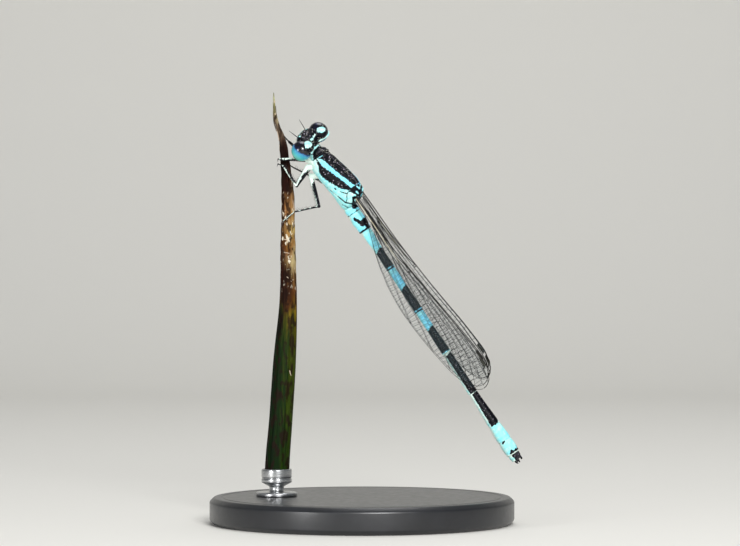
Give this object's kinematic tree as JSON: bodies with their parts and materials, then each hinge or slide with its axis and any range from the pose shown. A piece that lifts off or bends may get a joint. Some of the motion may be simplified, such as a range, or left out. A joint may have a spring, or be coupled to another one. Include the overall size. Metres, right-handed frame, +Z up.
{
  "type": "damselfly",
  "caption": "Life-size model of a male blue damselfly with closed wings, gripping a cut rush stem held by a rod on a round base.",
  "frame": {"origin": "centre of the round base's underside", "axes": "+Z up, +X across the animal's left side view towards its tail, -Y towards the viewer of that view"},
  "size_m": [0.0257, 0.025, 0.0354],
  "materials": {
    "blue_shell": "sky blue insect shell with black bands, satin",
    "dark_shell": "black insect shell with pale spots, satin",
    "compound_eye": "faceted compound eye, dark above and blue below, glossy",
    "leg_shell": "black leg shell with pale outer stripe, satin",
    "wing_membrane": "clear smoky wing membrane with a net of dark veins",
    "rush_stem": "dried rush stem, dark green to maroon and brown, matt with fine ribs",
    "steel_rod": "turned steel rod with a fine brushed finish",
    "base_enamel": "dark satin enamel on a turned metal disc"
  },
  "bodies": {
    "root": {"abdomen_s1": "blue_shell", "abdomen_s10": "blue_shell", "abdomen_s2": "blue_shell", "abdomen_s3": "blue_shell", "abdomen_s4": "blue_shell", "abdomen_s5": "blue_shell", "abdomen_s6": "blue_shell", "abdomen_s7": "blue_shell", "abdomen_s8": "blue_shell", "abdomen_s9": "blue_shell", "antenna_left": "leg_shell", "antenna_right": "leg_shell", "claspers": "dark_shell", "eye_left": "compound_eye", "eye_right": "compound_eye", "face": "blue_shell", "forewing_left": "wing_membrane", "forewing_right": "wing_membrane", "head": "dark_shell", "hindwing_left": "wing_membrane", "hindwing_right": "wing_membrane", "leg_fore_left_femur": "leg_shell", "leg_fore_left_tarsus": "leg_shell", "leg_fore_left_tibia": "leg_shell", "leg_fore_right_femur": "leg_shell", "leg_fore_right_tarsus": "leg_shell", "leg_fore_right_tibia": "leg_shell", "leg_hind_left_femur": "leg_shell", "leg_hind_left_tarsus": "leg_shell", "leg_hind_left_tibia": "leg_shell", "leg_hind_right_femur": "leg_shell", "leg_hind_right_tarsus": "leg_shell", "leg_hind_right_tibia": "leg_shell", "leg_mid_left_femur": "leg_shell", "leg_mid_left_tarsus": "leg_shell", "leg_mid_left_tibia": "leg_shell", "leg_mid_right_femur": "leg_shell", "leg_mid_right_tarsus": "leg_shell", "leg_mid_right_tibia": "leg_shell", "perch_stem": "rush_stem", "prothorax": "blue_shell", "stand_base": "base_enamel", "stand_rod": "steel_rod", "synthorax": "blue_shell"}
  },
  "joints": []
}
